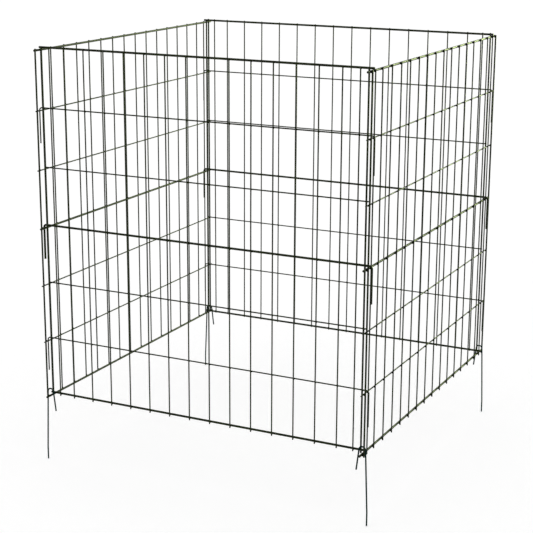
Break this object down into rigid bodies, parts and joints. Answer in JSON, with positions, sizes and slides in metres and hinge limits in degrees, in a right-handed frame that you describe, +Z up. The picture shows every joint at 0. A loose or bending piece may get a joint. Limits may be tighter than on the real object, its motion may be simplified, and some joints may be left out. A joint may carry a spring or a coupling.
{
  "type": "wire compost bin",
  "caption": "Square open-topped garden bin of welded wire panels that hook together at the corners, pinned down by bent wire stakes.",
  "frame": {"origin": "under the middle of the bin, level with the stakes' lower ends", "axes": "+X to the right along the front panel, +Y from the front panel to the back panel, +Z up"},
  "size_m": [0.8144, 0.798, 0.9669],
  "materials": {
    "panel_wire": "dark green polyester powder coat, satin to semi-gloss, over steel wire",
    "stake_wire": "dark blue-green powder coat, semi-gloss, over steel wire"
  },
  "bodies": {
    "side_panels": {"left_top_rail": "panel_wire", "left_upper_cross_wire": "panel_wire", "left_middle_rail": "panel_wire", "left_lower_cross_wire": "panel_wire", "left_bottom_rail": "panel_wire", "left_front_upright": "panel_wire", "left_back_upright": "panel_wire", "left_mesh": "panel_wire", "right_top_rail": "panel_wire", "right_upper_cross_wire": "panel_wire", "right_middle_rail": "panel_wire", "right_lower_cross_wire": "panel_wire", "right_bottom_rail": "panel_wire", "right_front_upright": "panel_wire", "right_back_upright": "panel_wire", "right_mesh": "panel_wire"},
    "front_panel": {"front_top_rail": "panel_wire", "front_upper_hook_wire": "panel_wire", "front_middle_rail": "panel_wire", "front_lower_hook_wire": "panel_wire", "front_bottom_rail": "panel_wire", "front_left_upright": "panel_wire", "front_right_upright": "panel_wire", "front_mesh": "panel_wire"},
    "back_panel": {"back_top_rail": "panel_wire", "back_upper_hook_wire": "panel_wire", "back_middle_rail": "panel_wire", "back_lower_hook_wire": "panel_wire", "back_bottom_rail": "panel_wire", "back_left_upright": "panel_wire", "back_right_upright": "panel_wire", "back_mesh": "panel_wire"},
    "stake_front_left": {"stake_front_left": "stake_wire"},
    "stake_front_right": {"stake_front_right": "stake_wire"},
    "stake_back_left": {"stake_back_left": "stake_wire"},
    "stake_back_right": {"stake_back_right": "stake_wire"}
  },
  "joints": [
    {"name": "front_panel_lift", "type": "slide", "parent": "side_panels", "child": "front_panel", "axis": [0, 0, 1], "range_m": [0, 0.085]},
    {"name": "back_panel_lift", "type": "slide", "parent": "side_panels", "child": "back_panel", "axis": [0, 0, 1], "range_m": [0, 0.085]},
    {"name": "stake_front_left_slide", "type": "slide", "parent": "side_panels", "child": "stake_front_left", "axis": [0, 0, 1], "range_m": [-0.011, 0.11]},
    {"name": "stake_front_right_slide", "type": "slide", "parent": "side_panels", "child": "stake_front_right", "axis": [0, 0, 1], "range_m": [-0.011, 0.11]},
    {"name": "stake_back_left_slide", "type": "slide", "parent": "side_panels", "child": "stake_back_left", "axis": [0, 0, 1], "range_m": [-0.011, 0.11]},
    {"name": "stake_back_right_slide", "type": "slide", "parent": "side_panels", "child": "stake_back_right", "axis": [0, 0, 1], "range_m": [-0.011, 0.11]}
  ]
}
